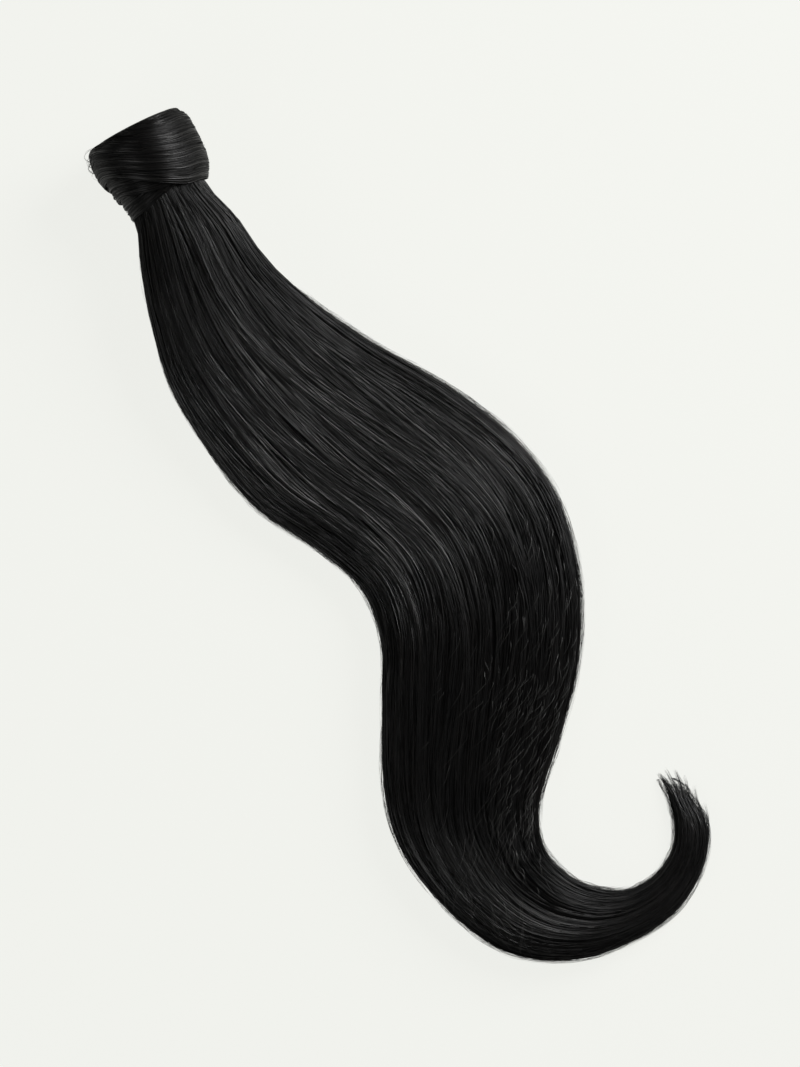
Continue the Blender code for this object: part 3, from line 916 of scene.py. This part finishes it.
wrapSize = {
    "length": 38.5 * mm,
    "setback": 0.5 * mm,
    "gap": 0.4 * mm,
    "thickness": 2.0 * mm,
    "edgeThickness": 0.8 * mm,
    "blend": 0.14,
    "rimRound": 1.3 * mm,
    "softCorner": 2.6 * mm,
}
turnNames = ["wrap_inner_turn", "wrap_middle_turn", "wrap_outer_turn"]
upperEdges = [0.05, 0.025, 0.0]

# angle round the wrap from its top, then the lower edge of the inner, middle and outer turn
turnEdges = [
    (-180, 0.95, 0.84, 0.80),
    (-150, 0.98, 0.80, 0.72),
    (-120, 1.00, 0.75, 0.60),
    (-90, 1.00, 0.72, 0.49),
    (-60, 0.98, 0.70, 0.45),
    (-30, 0.95, 0.76, 0.56),
    (0, 0.89, 0.83, 0.76),
    (30, 0.83, 0.82, 0.90),
    (60, 0.82, 0.81, 0.92),
    (90, 0.84, 0.82, 0.93),
    (120, 0.88, 0.83, 0.91),
    (150, 0.92, 0.84, 0.86),
]
edgeTable = smoothRows(turnEdges[-1:] + turnEdges + turnEdges[:2], 10)
edgeAngles = np.linspace(-210, 210, len(edgeTable))


def lowerEdge(turnNumber, angle):
    angle = np.mod(angle + 180, 360) - 180
    return np.interp(angle, edgeAngles, edgeTable[:, turnNumber + 1])


def turnThickness(share):
    share = np.clip(share, 0, 1)
    bluntness = np.where(share < 0.5, 6.0, 3.0)
    full = 1 - np.abs(2 * share - 1) ** bluntness
    return mix(wrapSize["edgeThickness"], wrapSize["thickness"], full)


def seatRadius(turnNumber, angle, along):
    # radius of what a turn is wound on
    radius = tubeRadius + wrapSize["gap"] + 0 * along
    for inner in range(turnNumber):
        upper = upperEdges[inner]
        share = (along - upper) / (lowerEdge(inner, angle) - upper)
        beyond = np.maximum(np.maximum(-share, share - 1), 0)
        ease = np.maximum(0, 1 - beyond / wrapSize["blend"])
        radius = radius + turnThickness(share) * ease + wrapSize["gap"]
    return radius


def turnRadius(turnNumber, angle, along):
    upper = upperEdges[turnNumber]
    share = (along - upper) / (lowerEdge(turnNumber, angle) - upper)
    return seatRadius(turnNumber, angle, along) + turnThickness(share)


def roundAxis(angle, radius, y):
    turn = np.radians(angle)
    return np.stack([axisX + radius * np.sin(turn), y, axisZ + radius * np.cos(turn)], axis=-1)


def rimRoundAt(turnNumber, angle):
    # the rim is rounder on the left, where a few hairs have slipped loose
    away = (np.mod(angle + 180, 360) - 180 + 95) / 45
    return wrapSize["rimRound"] + wrapSize["softCorner"] * turnNumber / 2 * np.exp(-(away**2))


def wrapSurface(turnNumber, angle, along, depth):
    # point on a turn; along is a share of the wrap's length, below the upper edge it rolls over the rim
    length, rimRound = wrapSize["length"], rimRoundAt(turnNumber, angle)
    first = upperEdges[turnNumber] + rimRound / length
    held = np.clip(along, first, lowerEdge(turnNumber, angle) - 0.005)
    radius = turnRadius(turnNumber, angle, held)
    nudge = 0.012
    slope = turnRadius(turnNumber, angle, held + nudge) - turnRadius(turnNumber, angle, held - nudge)
    slope = np.clip(slope / (2 * nudge * length), -1.2, 1.2)
    over = np.maximum(first - along, 0) * length
    tilt = np.clip(over / rimRound, 0, math.pi / 2)
    floorRadius = tubeRadius + 0.2 * mm if turnNumber == 0 else seatRadius(turnNumber - 1, angle, held)
    sink = np.clip(over - rimRound * math.pi / 2, 0, np.maximum(radius - rimRound - floorRadius, 0))
    lean = np.arctan(slope)
    flatNormal = np.stack([np.cos(lean), -np.sin(lean)], axis=-1)
    rolled = np.stack([np.cos(tilt), -np.sin(tilt)], axis=-1)
    normal = np.where((over > 0)[..., None], rolled, flatNormal)
    radius = radius - rimRound * (1 - np.cos(tilt)) - sink - depth * normal[..., 0]
    down = held * length - rimRound * np.sin(tilt) - depth * normal[..., 1]
    point = roundAxis(angle, radius, rimY - wrapSize["setback"] - down)
    turn = np.radians(angle)
    outward = np.stack(
        [normal[..., 0] * np.sin(turn), -normal[..., 1], normal[..., 0] * np.cos(turn)], axis=-1
    )
    return point, outward


wrapPieces = {
    "wrap_inner_strands": {
        "seed": 51, "turn": 0, "strands": 330, "steps": 48, "arc": (90, 240), "from": 0.35,
        "to": 1.0, "drift": 0.0, "depth": (-0.15 * mm, 0.6 * mm), "width": 0.40 * mm,
    },
    "wrap_middle_strands": {
        "seed": 52, "turn": 1, "strands": 330, "steps": 48, "arc": (90, 240), "from": 0.30,
        "to": 1.0, "drift": 0.35, "depth": (-0.15 * mm, 0.6 * mm), "width": 0.38 * mm,
    },
    "wrap_outer_strands": {
        "seed": 53, "turn": 2, "strands": 1500, "steps": 48, "arc": (100, 250), "from": -0.85,
        "to": 1.0, "drift": 0.8, "depth": (-0.05 * mm, 0.55 * mm), "width": 0.29 * mm,
    },
    "wrap_loose_loops": {
        "seed": 55, "turn": 2, "strands": 9, "steps": 40, "arc": (60, 110), "from": 0.05,
        "to": 0.6, "drift": 0.8, "depth": (-2.3 * mm, -1.1 * mm), "width": 0.24 * mm,
        "middle": (-100, -70),
    },
    "wrap_rim_strands": {
        "seed": 54, "turn": 1, "strands": 220, "steps": 40, "arc": (90, 240), "from": -0.10,
        "to": 0.2, "drift": 0.0, "depth": (0.0, 0.7 * mm), "width": 0.40 * mm,
    },
}


# what all wound strands share; lengths run round the wrap, in degrees
windingLook = {
    "flow": (0.018, (300, 800), (2, 7)),
    "waves": ([160, 90], 0.008),
    "lastPlace": 0.998,
    "locks": (13, 0.28 * mm, 300),
    "fineLocks": (62, 0.25 * mm, 200),
    "heave": ([140, 70], 0.08 * mm),
    "streaks": (8, (4, 20), (200, 500)),
    "streakTone": 0.13,
    "roll": 0.45,
    "rollWaves": ([120], 0.15),
    "dive": 0.7 * mm,
    "diveLength": 0.08,
    "loopDive": 2.5,
}


def wrapStrands(look):
    rng = np.random.default_rng(look["seed"])
    count, number, wound = look["strands"], look["turn"], windingLook
    middle = rng.uniform(*look.get("middle", (-180, 180)), (count, 1))
    arc = rng.uniform(*look["arc"], (count, 1))
    share = np.linspace(0, 1, look["steps"])[None, :] * np.ones((count, 1))
    angle = middle + arc * (share - 0.5)
    label = rng.uniform(look["from"], look["to"], (count, 1))
    flow = makeFlow(look["seed"], *wound["flow"])
    value = label + flow(label, np.mod(angle, 360)) + waves(rng, count, angle, *wound["waves"])
    value = np.minimum(value, wound["lastPlace"])
    edge = lowerEdge(number, angle)
    lowest = edgeTable[:, number + 1].min()
    along = value * edge + (1 - value) * look["drift"] * (edge - lowest)
    depth = rng.uniform(*look["depth"], (count, 1))
    for shift, kind in ((20, "locks"), (40, "fineLocks")):
        amount, groove, length = wound[kind]
        locks = makeLocks(look["seed"] + shift, amount, look["from"], look["to"], groove, length)
        depth = depth + locks(label, angle)
    depth = depth + waves(rng, count, angle, *wound["heave"])
    dive = (1 - smoothStep(0, wound["diveLength"], share)) + smoothStep(1 - wound["diveLength"], 1, share)
    if "middle" in look:
        dive = wound["loopDive"] * (1 - np.sin(math.pi * share))
    point, outward = wrapSurface(number, angle, along, depth + dive * wound["dive"])
    width = look["width"] * rng.uniform(0.7, 1.2, (count, 1)) * taper(share, 0.06, 0.06)
    roll = rng.normal(0, wound["roll"], (count, 1)) + waves(rng, count, angle, *wound["rollWaves"])
    streak = makeStreaks(look["seed"] + 60, *wound["streaks"])
    tone = rng.beta(0.9, 1.5, (count, 1)) + wound["streakTone"] * streak(label, angle)
    return point, outward, roll, width, tone


def makeWrapBand(number):
    # solid hair of one turn, just under its strands
    look = {"sides": 96, "samples": 22, "inset": 0.75 * mm, "upperGap": 0.6 * mm, "lowerGap": 0.5 * mm}
    angles = np.linspace(-180, 180, look["sides"], endpoint=False)[:, None]
    upper = upperEdges[number] + look["upperGap"] / wrapSize["length"]
    lower = lowerEdge(number, angles) - look["lowerGap"] / wrapSize["length"]
    share = np.linspace(0, 1, look["samples"])[None, :]
    along = upper + (lower - upper) * share
    seat = seatRadius(number, angles, along)
    outer = seat + np.maximum(turnThickness(share) - look["inset"], 0.25 * mm)
    inner = seat - 0.1 * mm
    rimRound = rimRoundAt(number, angles)
    short = np.maximum(rimRound - (along - upperEdges[number]) * wrapSize["length"], 0)
    rounding = rimRound - np.sqrt(rimRound**2 - short**2)
    outer = np.maximum(outer - rounding, inner + 0.2 * mm)
    y = rimY - wrapSize["setback"] - along * wrapSize["length"]
    spread = angles + 0 * along
    rings = np.concatenate([roundAxis(spread, outer, y), roundAxis(spread, inner, y)[:, ::-1]], axis=1)
    name = turnNames[number].replace("turn", "band")
    band = finishPiece(name, ringMesh(name, rings, ringsClose=True), deepWrap)
    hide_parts(turnNames[number])


for number in range(3):
    makeWrapBand(number)
for pieceName, look in wrapPieces.items():
    finishPiece(pieceName, ribbonMesh(pieceName, [wrapStrands(look)]), wrapHair)
    print("wrap:", pieceName, look["strands"], "strands")

# weft tube and root of the tail

tubeLook = {
    "length": 30 * mm,
    "wall": 2 * mm,
    "rows": 15,
    "ridge": 0.3 * mm,
    "sides": 80,
    "stitchRows": (2.2 * mm, 6.2 * mm),
    "stitches": 44,
    "stitchRadius": 0.16 * mm,
    "stitchBulge": 0.22 * mm,
}
bore = tubeRadius - tubeLook["wall"]


def lathe(name, profile, sides):
    # profile: (depth from the rim, radius), turned round the wrap's axis
    profile = np.array(profile, float)
    angles = np.linspace(-180, 180, sides, endpoint=False)[:, None]
    radius = profile[None, :, 1] + 0 * angles
    y = rimY - profile[None, :, 0] + 0 * angles
    return ringMesh(name, roundAxis(angles + 0 * radius, radius, y), ringsClose=True)


def makeTube():
    look = tubeLook
    depths = np.linspace(0.25 * mm, look["length"] - 0.25 * mm, look["rows"] * 6 + 1)
    wave = np.abs(np.sin(np.linspace(0, math.pi * look["rows"], len(depths))))
    inside = [(d, bore + look["ridge"] * (1 - w)) for d, w in zip(depths, wave)]
    outside = [(0.0, bore + 0.5 * mm), (0.0, tubeRadius - 0.5 * mm), (0.4 * mm, tubeRadius)]
    outside += [(look["length"] - 0.4 * mm, tubeRadius), (look["length"], bore + 0.6 * mm)]
    mesh = lathe("weft_rows", outside + inside[::-1], look["sides"])
    tube = finishPiece("weft_rows", mesh, weftCloth)
    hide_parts("weft_tube")


def makeStitches():
    # short slanted stitches that hold the rows together
    look = tubeLook
    corners, paths = 6, []
    for rowDepth in look["stitchRows"]:
        for i in range(look["stitches"]):
            angle = 360 * (i + np.linspace(0.1, 0.75, 5)) / look["stitches"]
            bulge = np.sin(np.linspace(0, math.pi, 5)) * look["stitchBulge"]
            y = rimY - rowDepth - np.linspace(0, 1.5, 5) * mm * (1 if i % 2 else -1)
            paths.append(roundAxis(angle, bore + 0.12 * mm - bulge, y))
    faces, points = [], []
    for path in paths:
        tangent = unit(np.gradient(path, axis=0))
        side = unit(np.cross(tangent, np.array([0.0, 1.0, 0.0])))
        up = np.cross(side, tangent)
        turns = np.linspace(0, 2 * math.pi, corners, endpoint=False)
        first = len(points)
        for k in range(len(path)):
            size = look["stitchRadius"] * (0.7 if k in (0, len(path) - 1) else 1.0)
            for turn in turns:
                points.append(path[k] + size * (side[k] * math.cos(turn) + up[k] * math.sin(turn)))
        for k in range(len(path) - 1):
            for j in range(corners):
                a, b = first + k * corners + j, first + k * corners + (j + 1) % corners
                faces.append((a, b, b + corners, a + corners))
        faces.append(tuple(range(first + corners - 1, first - 1, -1)))
        faces.append(tuple(range(first + (len(path) - 1) * corners, first + len(path) * corners)))
    mesh = bpy.data.meshes.new("weft_stitches")
    mesh.from_pydata([tuple(p) for p in points], [], faces)
    mesh.shade_smooth()
    finishPiece("weft_stitches", mesh, weftThread)


def makeRoot():
    # gathered hair that fills the foot of the tube, its face coiled like the sewn rows
    look = {"face": 24 * mm, "shoulder": 30.9 * mm, "end": 46 * mm, "coils": 7, "coilRise": 0.35 * mm}
    small = bore - 0.4 * mm
    profile = [(look["end"] - 6 * mm, 2 * mm), (look["face"] + 1.5 * mm, 0.4 * mm)]
    for i in range(look["coils"] * 6 + 1):
        share = i / (look["coils"] * 6)
        hump = abs(math.sin(math.pi * look["coils"] * share))
        depth = look["face"] + look["coilRise"] * (1 - hump)
        profile.append((depth, 0.4 * mm + share * (small - 0.8 * mm)))
    profile += [(look["face"] + 0.6 * mm, small), (look["shoulder"] - 0.4 * mm, small)]
    profile += [(look["shoulder"], small + 0.4 * mm), (look["shoulder"] + 0.4 * mm, tubeRadius - 1.0 * mm)]
    profile += [(look["end"] - 8 * mm, tubeRadius - 1.6 * mm), (look["end"], tubeRadius - 6 * mm)]
    finishPiece("tail_root", lathe("tail_root", profile, 64), deepHair)


makeTube()
makeStitches()
makeRoot()
print("weft tube")

# comb keeps its CAD shape and gets moulded plastic


def makeCombPlastic():
    look = {"dark": (0.02, 0.015, 0.012), "light": (0.055, 0.04, 0.03), "roughness": (0.2, 0.34)}
    material, tree, shader = newMaterial("mouldedComb", look["light"])
    place = addNode(tree, "ShaderNodeTexCoord")
    clouds = addNode(tree, "ShaderNodeTexNoise", Scale=180.0, Detail=3.0)
    tree.links.new(place.outputs["Object"], clouds.inputs["Vector"])
    varyColour(tree, shader, clouds.outputs["Fac"], look)
    varyRoughness(tree, shader, clouds.outputs["Fac"], *look["roughness"])
    shader.inputs["Coat Weight"].default_value = 0.3
    return material


comb = bpy.data.objects["comb"]
comb.data.materials.clear()
comb.data.materials.append(makeCombPlastic())
print("comb")

# studio

studioLook = {
    "floorColour": (0.12, 0.121, 0.116),
    "floorGlow": (0.83, 0.838, 0.80),
    "floorBounce": (0.30, 0.303, 0.29),  # what the hair gets of that glow
    "cameraDistance": 2.6,
    "frameHeight": 0.4951,  # what the picture's long side spans at the table
    "lookAt": (-0.0033, -0.0023),
    "cameraTurn": -27.0,
    "skyColour": (0.9, 0.91, 0.88),
    "skyStrength": 0.05,
    "softBoxes": [
        # name, angle from the picture's right side, elevation, distance, size, power
        ("keyLight", 42, 36, 1.5, (0.8, 0.8), 14.5),
        ("sideLight", 25, 14, 1.5, (0.6, 0.5), 2.6),
        ("fillLight", 222, 40, 1.6, (0.7, 0.6), 2.6),
    ],
}


def makeStudio():
    look = studioLook
    bpy.ops.mesh.primitive_plane_add(size=8)
    floor = bpy.context.object
    floor.name = "floor"
    material, tree, shader = newMaterial("paleTable", look["floorColour"])
    shader.inputs["Base Color"].default_value = (*look["floorColour"], 1)
    shader.inputs["Roughness"].default_value = 0.9
    shader.inputs["Specular IOR Level"].default_value = 0.1
    rays = addNode(tree, "ShaderNodeLightPath")
    glow = addNode(tree, "ShaderNodeMix", data_type="RGBA")
    glow.inputs["A"].default_value = (*look["floorBounce"], 1)
    glow.inputs["B"].default_value = (*look["floorGlow"], 1)
    tree.links.new(rays.outputs["Is Camera Ray"], glow.inputs["Factor"])
    tree.links.new(glow.outputs["Result"], shader.inputs["Emission Color"])
    shader.inputs["Emission Strength"].default_value = 1.0
    floor.data.materials.append(material)

    turn = math.radians(look["cameraTurn"])
    right = Vector((math.cos(turn), math.sin(turn), 0))
    up = Vector((-math.sin(turn), math.cos(turn), 0))

    def softBox(name, angle, elevation, distance, size, power):
        # angle runs anticlockwise from the picture's right side
        flat = right * math.cos(math.radians(angle)) + up * math.sin(math.radians(angle))
        way = flat * math.cos(math.radians(elevation)) + Vector((0, 0, math.sin(math.radians(elevation))))
        lamp = bpy.data.lights.new(name, "AREA")
        lamp.shape = "RECTANGLE"
        lamp.size, lamp.size_y = size
        lamp.energy = power
        holder = bpy.data.objects.new(name, lamp)
        scene.collection.objects.link(holder)
        holder.location = way * distance
        holder.rotation_euler = (-way).to_track_quat("-Z", "Y").to_euler()

    for box in look["softBoxes"]:
        softBox(*box)

    world = bpy.data.worlds.new("studioWorld")
    scene.world = world
    world.use_nodes = True
    sky = world.node_tree.nodes["Background"]
    sky.inputs["Color"].default_value = (*look["skyColour"], 1)
    sky.inputs["Strength"].default_value = look["skyStrength"]

    camera = bpy.data.cameras.new("camera")
    camera.lens = camera.sensor_width * look["cameraDistance"] / look["frameHeight"]
    camera.clip_end = 20
    holder = bpy.data.objects.new("camera", camera)
    scene.collection.objects.link(holder)
    holder.location = (*look["lookAt"], look["cameraDistance"])
    holder.rotation_euler = (0, 0, turn)
    scene.camera = holder
    scene.view_settings.view_transform = "Standard"


makeStudio()
print("studio ready")
